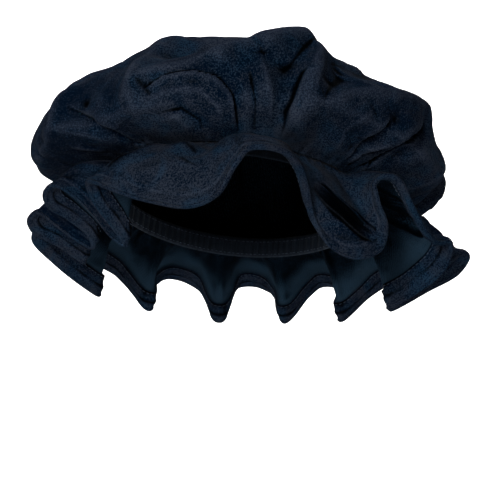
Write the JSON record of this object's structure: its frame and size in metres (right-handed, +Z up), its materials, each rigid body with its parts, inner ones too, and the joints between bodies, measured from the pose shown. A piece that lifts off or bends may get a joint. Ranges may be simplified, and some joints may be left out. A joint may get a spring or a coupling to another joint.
{
  "type": "medieval coif",
  "caption": "Soft gathered cloth cap: a puffed round crown drawn in along an elastic line, with a deep rippling frill and a turned-in hem.",
  "frame": {"origin": "middle of the head opening, on the gathered line, where the cap sits round the head", "axes": "+Z up out of the wearer's head, -Y towards the wearer's face, +X towards the wearer's left"},
  "size_m": [0.2832, 0.3072, 0.1891],
  "materials": {
    "navy_velvet": "dark navy cotton velvet, short soft pile",
    "navy_tape": "woven navy cotton tape over elastic"
  },
  "bodies": {
    "root": {"crown": "navy_velvet", "frill": "navy_velvet", "hem_facing": "navy_velvet", "elastic_casing": "navy_tape"}
  },
  "joints": []
}
